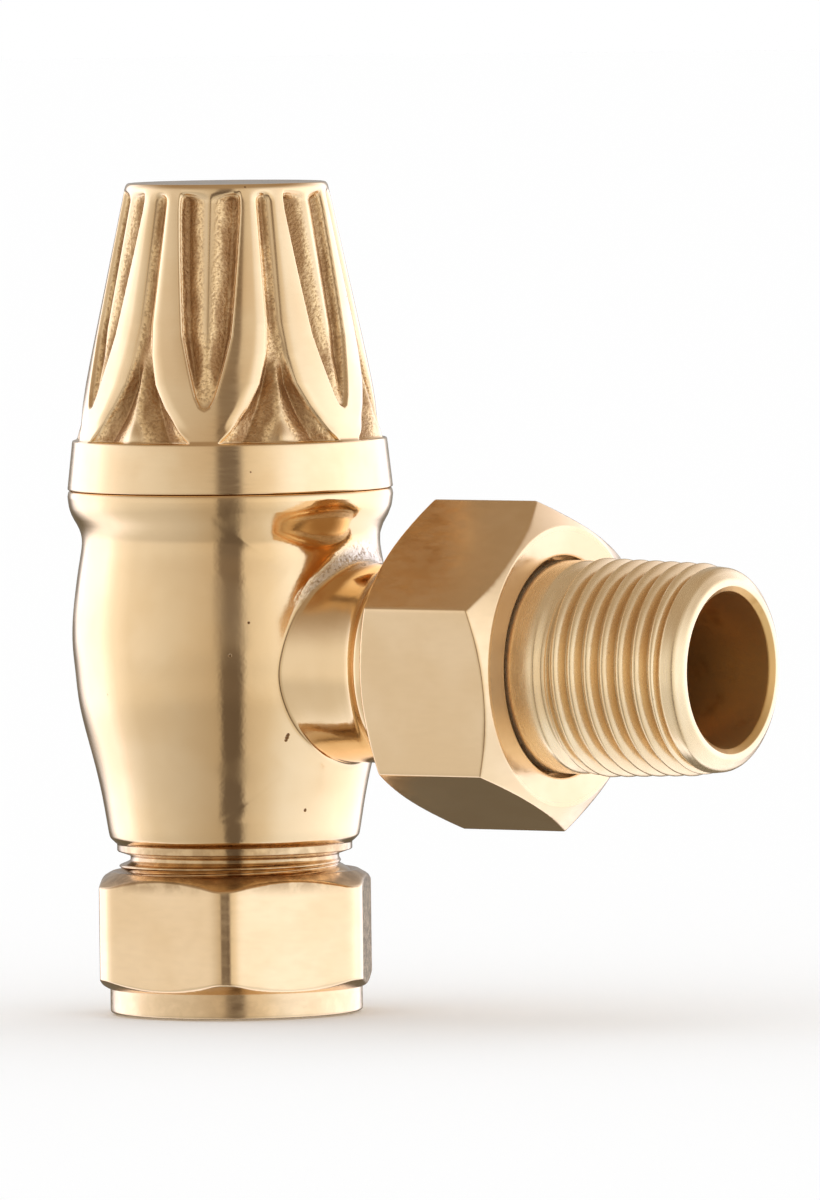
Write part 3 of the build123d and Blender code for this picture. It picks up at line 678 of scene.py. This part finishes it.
def outlet_tube():
    """The outlet's outline, from the stub's end over its collar and thread, and back to the chamber."""
    tube = outline(
        [
            (STUB_RADIUS, STUB_END, 0), (9.9, 20.2, 0.8, 0.4), (11.0, 21.4, 0.35, 0.3),
            (11.0, 23.1, 0.2, 0.4), (OUTLET_CORE, 23.6, 0.1, 0.12), (OUTLET_CORE, OUTLET_END, 0.4, 0.4),
            (8.6, OUTLET_END, 0.15, 0.5), (8.6, 29.2, 0.1, 0.5), (WATERWAY_RADIUS, 28.4, 0.2, 2.0),
            (WATERWAY_RADIUS, TUBE_FOOT, 0), (0, 10, 0),
        ]
    )
    in_wall = (tube[:, 1] < TUBE_FOOT + 0.001) & (tube[:, 0] > WATERWAY_RADIUS - 0.5)
    return tube[ARC_POINTS : np.argmax(in_wall)]


def outlet_rings(out_places, in_places):
    """Rings of the outlet, from the window in the belly to the one in the chamber's wall.

    Each place round the outer window is joined to the same place round the inner one.
    """
    out_angle = np.arctan2(out_places[:, 2], out_places[:, 1])
    in_angle = np.arctan2(in_places[:, 2], in_places[:, 1])
    turn_back = (in_angle - out_angle + math.pi) % TURN - math.pi
    rings = []
    rim_y, rim_z = STUB_RING * np.cos(out_angle), STUB_RING * np.sin(out_angle)
    for t in np.linspace(0, 1, 6)[1:-1]:
        y = (1 - t) * out_places[:, 1] + t * rim_y
        z = (1 - t) * out_places[:, 2] + t * rim_z
        rings.append(on_wall(belly_radius, y, z))
    top, bottom = np.maximum(np.sin(out_angle), 0), np.maximum(-np.sin(out_angle), 0)
    rings += stub_root(out_angle, 0.28 + 1.5 * top**3 + 0.5 * bottom**3)
    # The rings turn to the inner window's own angles along the last quarter of the tube.
    tube = outlet_tube()
    for index, (radius, x) in enumerate(tube):
        angle = out_angle + smoothstep(0.75, 1.0, index / (len(tube) - 1)) * turn_back
        thread = 0
        if 23.6 < x < OUTLET_END - 0.05 and radius > OUTLET_CORE - 0.06:
            thread = thread_height(angle, x, OUTLET_DATUM, 24.2, OUTLET_END - 0.2)
        rings.append(ring_x(x, radius + thread, angle))
    rim_y, rim_z = WATERWAY_RADIUS * np.cos(in_angle), WATERWAY_RADIUS * np.sin(in_angle)
    for t in np.linspace(0, 1, 5)[:-1]:
        y = (1 - t) * rim_y + t * in_places[:, 1]
        z = (1 - t) * rim_z + t * in_places[:, 2]
        rings.append(on_wall(lambda height: CHAMBER_RADIUS + 0 * height, y, z))
    return rings


def used_only(places, faces):
    """The places that faces use, and the faces numbered to match them."""
    used = np.zeros(len(places), bool)
    used[np.unique(np.array(faces))] = True
    renumber = np.cumsum(used) - 1
    return places[used], [tuple(int(renumber[v]) for v in face) for face in faces]


def body_marks(places):
    """Raw casting skin in the corner above the stub, further out on the far side, and grime with painted
    shade at the foot, where the nut meets it.
    """
    x, y, z = (places[:, k] for k in range(3))
    off_stub = np.hypot(y, z) - STUB_RADIUS
    above = smoothstep(5.0, 9.0, z) * (x > 6)
    far_side = smoothstep(-6.0, 2.0, y)
    raw = above * smoothstep(0.02, 0.3, off_stub)
    raw = raw * (1 - smoothstep(0.3 + 0.8 * far_side, 1.0 + 1.7 * far_side, off_stub))
    # The grime mark darkens the foot round the inlet thread: painted shade, with some grime.
    return {"raw": raw, "grime_and_shade": 0.65 * (1 - smoothstep(-18.2, -17.0, z))}


def body():
    """The riser, swept round Z, with the outlet's rings sewn into a window on each side of its wall."""
    rows, outer_first, inner_first = riser_outline()
    angles = np.radians(np.arange(-180, 180, COLUMN))
    columns = len(angles)
    places = swept(rows, angles, "Z", inlet_thread).reshape(-1, 3)
    column_from = int(round((180 - WINDOW_ANGLE) / COLUMN))
    column_to = columns - column_from
    outer_loop = window_loop(outer_first, outer_first + WINDOW_ROWS, column_from, column_to)
    inner_loop = window_loop(inner_first + WINDOW_ROWS, inner_first, column_from, column_to)
    outer_ids = [row * columns + column for row, column in outer_loop]
    inner_ids = [row * columns + column for row, column in inner_loop]
    rings = outlet_rings(places[outer_ids], places[inner_ids])

    def in_window(row, column):
        in_rows = any(first <= row < first + WINDOW_ROWS for first in (outer_first, inner_first))
        return in_rows and column_from <= column < column_to

    grid = grid_faces(len(rows), columns)
    faces = [face for i, face in enumerate(grid) if not in_window(i // columns, i % columns)]
    depth, count = len(rings), len(outer_ids)
    new_ids = len(places) + np.arange(depth * count).reshape(depth, count)
    ring_ids = np.vstack([outer_ids, new_ids, inner_ids])
    for k in range(depth + 1):
        for i in range(count):
            j = (i + 1) % count
            faces.append((ring_ids[k, i], ring_ids[k, j], ring_ids[k + 1, j], ring_ids[k + 1, i]))
    places, faces = used_only(np.concatenate([places, *rings]), faces)
    piece("body_casting", places, faces, "valve", "valve_body", "body_brass", body_marks(places))


# ------------------------------------------------------------------ nuts and tail
# Nuts: across the flats, and the direction of one corner.
INLET_NUT_FLATS, INLET_NUT_CORNER = 26.0, math.radians(-1)
UNION_NUT_FLATS, UNION_NUT_CORNER = 28.5, math.radians(98)
# Across the narrow soft flats that buffing has rubbed onto the lower nut's corners, a little to one side.
BUFFED_FLATS, BUFFED_ASIDE = 28.9, math.radians(2)
# Where the lower nut begins and ends, the foot of its hexagon, and the radius of its threaded bore.
INLET_NUT_TOP, INLET_NUT_FOOT, INLET_HEXAGON_FOOT = -20.7, -34.65, -32.2
INLET_NUT_BORE = 10.41
# The same for the union nut, whose hexagon runs its whole length.
UNION_NUT_START, UNION_NUT_END = 23.9, 38.8
UNION_NUT_BORE = 12.18
# The hexagon key's socket in the tail.
KEY_FLATS, KEY_START, KEY_END = 12.0, 34.0, 46.4


def compression_nut():
    corners = [
        (12.15, INLET_NUT_TOP, 0.1, 0.1), (16.2, -23.04, 0.1, 1.2), (16.2, -30.18, 0.1, 0.1),
        (12.7, INLET_HEXAGON_FOOT, 0.08, 0.2), (12.45, INLET_HEXAGON_FOOT - 0.05, 0.05, 0.5),
        (12.45, INLET_NUT_FOOT, 0.3, 0.4), (7.75, INLET_NUT_FOOT, 0.25, 0.6), (7.75, -31.45, 0.1, 0.5),
        (9.3, -29.9, 0.05, 0.3), (INLET_NUT_BORE, -29.7, 0.1, 0.15), (INLET_NUT_BORE, -21.5, 0.3, 0.2),
        (11.8, INLET_NUT_TOP, 0.15, 0.2),
    ]
    points = outline(corners)

    def shape(radius, place, angle):
        threaded = (np.abs(radius - INLET_NUT_BORE) < 0.19) & (place > -29.6)
        thread = thread_height(angle, place, INLET_DATUM, -29.4, -20.0)
        radius = np.where(threaded, radius + thread, radius)
        hexagon = hexagon_radius(angle, INLET_NUT_FLATS, INLET_NUT_CORNER, 120)
        buffed = hexagon_radius(angle, BUFFED_FLATS, INLET_NUT_CORNER + BUFFED_ASIDE - TURN / 12)
        return soft_min(radius, soft_min(hexagon, buffed, 0.4), 0.3)

    angles = hexagon_angles(INLET_NUT_CORNER)
    places = swept(points, angles, "Z", shape)
    faces = grid_faces(len(points), len(angles))
    place, radius = places[..., 2], np.hypot(places[..., 0], places[..., 1])
    # Painted shade with some grime: in the top of the nut where the body's foot enters it, and a little on
    # the skirt under the hexagon.
    grime_and_shade = 0.75 * smoothstep(-22.8, -21.4, place) * (1 - smoothstep(12.9, 14.9, radius))
    marks = {"grime_and_shade": grime_and_shade + 0.22 * (1 - smoothstep(-32.4, INLET_HEXAGON_FOOT, place))}
    piece("inlet_nut", places, faces, "compression_nut_group", "compression_nut", "nut_brass", marks)


def union_nut():
    corners = [
        (13.4, UNION_NUT_START, 0.1, 0.3), (13.7, UNION_NUT_START, 0.1, 0.1), (17.4, 26.04, 0.1, 1.2),
        (17.4, 36.66, 0.1, 0.1), (13.7, UNION_NUT_END, 0.1, 0.3), (10.8, UNION_NUT_END, 0.3, 0.4),
        (10.8, 35.6, 0.1, 0.4), (UNION_NUT_BORE, 35.6, 0.1, 0.15), (UNION_NUT_BORE, 25.1, 0.2, 0.2),
    ]
    points = outline(corners)

    def shape(radius, place, angle):
        threaded = (radius < 12.4) & (radius > 12.1) & (place < 35.5)
        thread = thread_height(angle, place, OUTLET_DATUM, 23.0, 35.0)
        radius = np.where(threaded, radius + thread, radius)
        return soft_min(radius, hexagon_radius(angle, UNION_NUT_FLATS, UNION_NUT_CORNER), 0.3)

    angles = hexagon_angles(UNION_NUT_CORNER)
    places = swept(points, angles, "X", shape)
    faces = grid_faces(len(points), len(angles))
    place, radius = places[..., 0], np.hypot(places[..., 1], places[..., 2])
    marks = {"faced": smoothstep(38.5, 38.7, place) * (1 - smoothstep(13.5, 13.9, radius))}
    piece("outlet_nut", places, faces, "union_nut_group", "union_nut", "nut_brass", marks)


# The tail's taper thread. The gauge plane is where the crest has its nominal radius, back from the end.
TAIL_START, TAIL_END = 42.8, 58.0
GAUGE_CREST, GAUGE_LENGTH = 10.48, 8.2


def tail_core(place):
    """Radius at the root of the taper thread."""
    return GAUGE_CREST - PIPE_DEPTH + (TAIL_END - GAUGE_LENGTH - place) * TAPER


def union_tail():
    core_start, core_end = tail_core(TAIL_START), tail_core(TAIL_END)
    corners = [
        (8.0, 29.3, 0.2, 0.5), (8.45, 29.75, 0.15, 0.5), (8.45, 30.3, 0.05, 0.5), (7.2, 30.3, 0.05, 0.5),
        (7.2, 32.0, 0.05, 0.5), (8.45, 32.0, 0.03, 0.5), (8.45, 32.15, 0.05, 0.5), (11.7, 32.15, 0.2, 0.5),
        (11.7, 35.5, 0.2, 0.5), (10.4, 35.5, 0.1, 0.5), (10.4, 41.6, 0.25, 0.3),
        (core_start + 0.15, 42.3, 0.2, 0.1), (core_end + 0.1, TAIL_END - 2.6, 0.2, 0.1),
        (core_end + 0.97, TAIL_END - 2.1, 0.25, 0.1), (core_end + 0.85, TAIL_END - 0.75, 0.45, 0.1),
        (8.75, TAIL_END, 0.3, 0.2), (8.2, TAIL_END, 0.1, 0.2), (7.6, TAIL_END - 0.5, 0.12, 0.8),
        (7.6, 47.0, 0.2, 0.3), (6.95, 46.0, 0.1, 0.6), (6.95, KEY_START, 0.1, 0.4),
        (6.0, KEY_START, 0.1, 0.8), (6.0, 29.3, 0.2, 0.5),
    ]
    points = outline(corners)

    def shape(radius, place, angle):
        threaded = (place > TAIL_START - 0.6) & (place < TAIL_END - 2.2) & (radius > 8.6)
        datum = TAIL_START + PIPE_PITCH / 4
        thread = thread_height(angle, place, datum, TAIL_START - 0.3, TAIL_END - 2.1)
        radius = np.where(threaded, np.maximum(radius, tail_core(place) + thread), radius)
        in_key = (radius < 7.0) & (place > KEY_START + 0.2) & (place < KEY_END)
        return np.where(in_key, soft_min(radius, hexagon_radius(angle, KEY_FLATS, 0.0), 0.1), radius)

    angles = even_angles(240)
    places = swept(points, angles, "X", shape)
    faces = grid_faces(len(points), len(angles))
    # The outline turns into the bore a few points after it reaches the end's face.
    into_bore = np.argmax(points[:, 1] > TAIL_END - 0.01) + 6
    inside = (np.arange(len(points)) > into_bore)[:, None]
    bore = inside * np.ones(len(angles))[None, :]
    place, radius = places[..., 0], np.hypot(places[..., 1], places[..., 2])
    below_crest = (tail_core(place) + PIPE_DEPTH - radius) / PIPE_DEPTH
    on_thread = (1 - bore) * (place > TAIL_START) * (place < TAIL_END - 1.6)
    # The root mark darkens the thread's roots in the material: painted shade, with some grime.
    marks = {"bore": bore, "root_grime_and_shade": on_thread * smoothstep(0.25, 0.95, below_crest)}
    piece("tail_pipe", places, faces, "tail_group", "union_tail", "tail_brass", marks)


# ------------------------------------------------------------------ materials and pieces
# Brass that is turned or milled: its colour where it is clean, and where it is worn.
NUT_TONES = tone(0.915, 0.660, 0.385), tone(0.84, 0.58, 0.31)
TAIL_TONES = tone(0.95, 0.73, 0.44), tone(0.86, 0.61, 0.33)
OLIVE_TONES = tone(0.86, 0.62, 0.34), DEEP
INTERNAL_TONES = tone(0.84, 0.60, 0.32), DEEP
SPINDLE_TONES = tone(0.88, 0.66, 0.37), DEEP
MATERIALS = {
    "body_brass": body_brass(),
    "cap_brass": cap_brass(),
    "nut_brass": machined_brass("nut_brass", *NUT_TONES, 0.19, (1, 1, 3), dents=0.04),
    "tail_brass": machined_brass("tail_brass", *TAIL_TONES, 0.24, ROUND_X, metal=0.86),
    "olive_brass": machined_brass("olive_brass", *OLIVE_TONES, 0.22, ROUND_Z),
    "internal_brass": machined_brass("internal_brass", *INTERNAL_TONES, 0.30, ROUND_Z, depth=0.006),
    "spindle_brass": machined_brass("spindle_brass", *SPINDLE_TONES, 0.18, ROUND_Z, dents=0.04),
    "spring_steel": spring_steel(),
    "black_rubber": black_rubber(),
    "fibre_washer": fibre_washer(),
    "white_packing": white_packing(),
}

cap()
body()
compression_nut()
union_nut()
union_tail()
# The parts inside keep their CAD shapes.
for part in frame["record"]["subparts"]:
    node = frame["nodes"][part["node"]]
    if not node.hide_render:
        node.data.materials.clear()
        node.data.materials.append(MATERIALS[part["material_slot"]])
        node.data.shade_smooth()
        node.data.set_sharp_from_angle(angle=math.radians(32))


# ------------------------------------------------------------------ stage
WHITE = tone(1.0, 1.0, 1.0)
FLOOR_GAP, FLOOR_RADIUS = 0.0002, 6


def stand():
    """A white floor, which goes down with the lower nut when it is undone, as the valve stands on that."""
    location = (0, 0, cad_box[0].z - FLOOR_GAP)
    bpy.ops.mesh.primitive_circle_add(vertices=96, radius=FLOOR_RADIUS, fill_type="NGON", location=location)
    floor = bpy.context.object
    floor.name = "floor"
    material = bpy.data.materials.new("floor")
    material.use_nodes = True
    nodes = Nodes(material.node_tree)
    paper = nodes.tree.nodes["Principled BSDF"]
    paper.inputs["Base Color"].default_value = tone(0.995, 0.995, 0.995)
    paper.inputs["Specular IOR Level"].default_value = 0.0
    # Polished metal sees the studio below the horizon as well, not the floor.
    unseen = nodes.node("ShaderNodeBsdfTransparent", {})
    glossy = nodes.node("ShaderNodeLightPath", {}, "Is Glossy Ray")
    either = nodes.node("ShaderNodeMixShader", {"Fac": glossy, 1: paper.outputs["BSDF"], 2: unseen})
    nodes.feed(nodes.tree.nodes["Material Output"].inputs["Surface"], either)
    floor.data.materials.append(material)
    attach(floor, "compression_nut_group")


# Brightness round the object that polished metal sees, by direction from the camera's side: degrees,
# clockwise from above, then a colour. Two tall softboxes stand at the sides, with a dim gap where the
# camera stands and another behind the object.
STUDIO_RING = [
    (-180, (0.44, 0.44, 0.45)),
    (-161, (0.46, 0.46, 0.47)),
    (-151, (1.70, 1.80, 2.20)),
    (-112, (1.75, 1.85, 2.30)),
    (-97, (1.25, 1.32, 1.50)),
    (-80, (0.98, 1.00, 1.06)),
    (-45, (0.80, 0.80, 0.81)),
    (-11, (0.65, 0.60, 0.53)),
    (-7, (0.20, 0.17, 0.15)),
    (6.5, (0.18, 0.15, 0.13)),
    (11, (0.84, 0.80, 0.74)),
    (28, (1.00, 0.99, 0.98)),
    (46, (1.22, 1.32, 1.52)),
    (80, (1.38, 1.50, 1.75)),
    (105, (1.65, 1.75, 2.10)),
    (140, (1.75, 1.85, 2.30)),
    (153, (1.70, 1.80, 2.20)),
    (163, (0.46, 0.46, 0.47)),
    (180, (0.44, 0.44, 0.45)),
]
CEILING = tone(0.38, 0.30, 0.22)
# A shadow low down behind the object, and the direction it lies in.
LOW_BEHIND, LOW_SHADE = (-0.54, 0.65, -0.53), tone(0.17, 0.15, 0.115)

CAMERA_AZIMUTH, CAMERA_ELEVATION, CAMERA_ROLL = 33.0, 2.7, 0.7
# The lens shows this height at this distance, in metres.
CAMERA_DISTANCE, FIELD_HEIGHT = 1.7, 0.1175


def studio():
    """White for the camera and for soft surfaces, and the ring of softboxes for shiny ones."""
    world = bpy.data.worlds.new("studio")
    bpy.context.scene.world = world
    world.use_nodes = True
    nodes = Nodes(world.node_tree)
    ray = nodes.node("ShaderNodeTexCoord", {}, "Generated")

    def along(direction):
        """How far the ray goes in a direction."""
        return nodes.node("ShaderNodeVectorMath", {0: ray, 1: direction}, 1, operation="DOT_PRODUCT")

    turn = math.radians(CAMERA_AZIMUTH)
    right = along((math.cos(turn), math.sin(turn), 0))
    near = along((math.sin(turn), -math.cos(turn), 0))
    round_about = nodes.math("ARCTAN2", right, near)
    share = nodes.node("ShaderNodeMath", {0: round_about, 1: 1 / TURN, 2: 0.5}, operation="MULTIPLY_ADD")
    softboxes = nodes.node("ShaderNodeValToRGB", {"Fac": share}, "Color")
    elements = softboxes.node.color_ramp.elements
    while len(elements) < len(STUDIO_RING):
        elements.new(0.5)
    for element, (angle, colour) in zip(elements, STUDIO_RING):
        element.position = angle / 360 + 0.5
        element.color = tone(*colour)
    height = nodes.node("ShaderNodeSeparateXYZ", {0: ray}, "Z")
    above = nodes.mix(nodes.span(height, 0.12, 0.8), softboxes, CEILING)
    # The floor is a little darker than the softboxes, and dark low down behind the object.
    floor_level = nodes.span(height, -0.12, -0.4, 1.0, 0.8)
    lit = nodes.node("ShaderNodeVectorMath", {0: above, "Scale": floor_level}, operation="SCALE")
    shadow = nodes.span(along(LOW_BEHIND), 0.76, 0.92)
    dim = nodes.mix(shadow, lit, LOW_SHADE)
    glossy = nodes.node("ShaderNodeLightPath", {}, "Is Glossy Ray")
    nodes.feed(nodes.tree.nodes["Background"].inputs["Color"], nodes.mix(glossy, WHITE, dim))
    bpy.context.scene.view_settings.view_transform = "Standard"


def camera():
    """A long lens a little above the middle of the valve, with a slight roll."""
    azimuth, elevation = math.radians(CAMERA_AZIMUTH), math.radians(CAMERA_ELEVATION)
    level = math.cos(elevation)
    back = Vector((math.sin(azimuth) * level, -math.cos(azimuth) * level, math.sin(elevation)))
    lens = bpy.data.cameras.new("camera")
    lens.lens = lens.sensor_width * CAMERA_DISTANCE / FIELD_HEIGHT
    lens.clip_start, lens.clip_end = 0.1, 50
    eye = bpy.data.objects.new("camera", lens)
    bpy.context.scene.collection.objects.link(eye)
    eye.location = (cad_box[0] + cad_box[1]) / 2 + back * CAMERA_DISTANCE
    eye.rotation_mode = "QUATERNION"
    look = (-back).to_track_quat("-Z", "Y")
    eye.rotation_quaternion = look @ Quaternion((0, 0, 1), math.radians(-CAMERA_ROLL))
    bpy.context.scene.camera = eye


stand()
studio()
camera()
